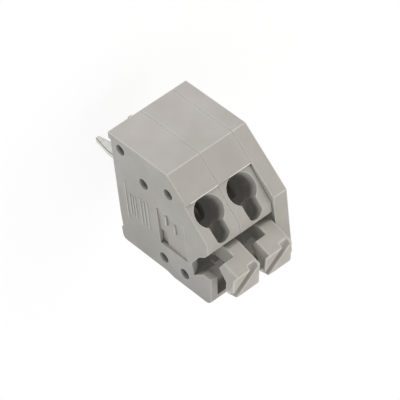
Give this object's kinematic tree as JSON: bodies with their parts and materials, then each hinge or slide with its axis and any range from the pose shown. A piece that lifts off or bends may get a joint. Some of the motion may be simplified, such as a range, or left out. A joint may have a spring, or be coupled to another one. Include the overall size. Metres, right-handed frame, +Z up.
{
  "type": "spring terminal block",
  "caption": "Grey spring terminal block for a circuit board: slanted wire entries, push buttons that open the clamp springs, and solder pins underneath.",
  "frame": {"origin": "on the board plane, midway between the two solder pins", "axes": "+Z up, away from the board and along the pins; -Y to the front, where the wires enter; +X towards the closed side of the first pole"},
  "size_m": [0.0085, 0.0123, 0.0181],
  "materials": {
    "housing_polyamide": "satin moulded",
    "button_polyamide": "satin moulded",
    "spring_steel": "bright rolled strip",
    "tinned_copper": "bright tin plating"
  },
  "bodies": {
    "block": {"first_pole_housing": "housing_polyamide", "second_pole_housing": "housing_polyamide", "end_plate": "housing_polyamide", "first_clamp_spring": "spring_steel", "second_clamp_spring": "spring_steel", "first_current_bar": "tinned_copper", "second_current_bar": "tinned_copper"},
    "first_button": {"first_push_button": "button_polyamide"},
    "second_button": {"second_push_button": "button_polyamide"}
  },
  "joints": [
    {"name": "first_button_press", "type": "slide", "parent": "block", "child": "first_button", "axis": [0, 0, -1], "range_m": [0, 0.0011], "stiffness_N_per_m": 4000, "springref_m": -0.0005, "deforming": ["first_clamp_spring"]},
    {"name": "second_button_press", "type": "slide", "parent": "block", "child": "second_button", "axis": [0, 0, -1], "range_m": [0, 0.0011], "stiffness_N_per_m": 4000, "springref_m": -0.0005, "deforming": ["second_clamp_spring"]}
  ]
}
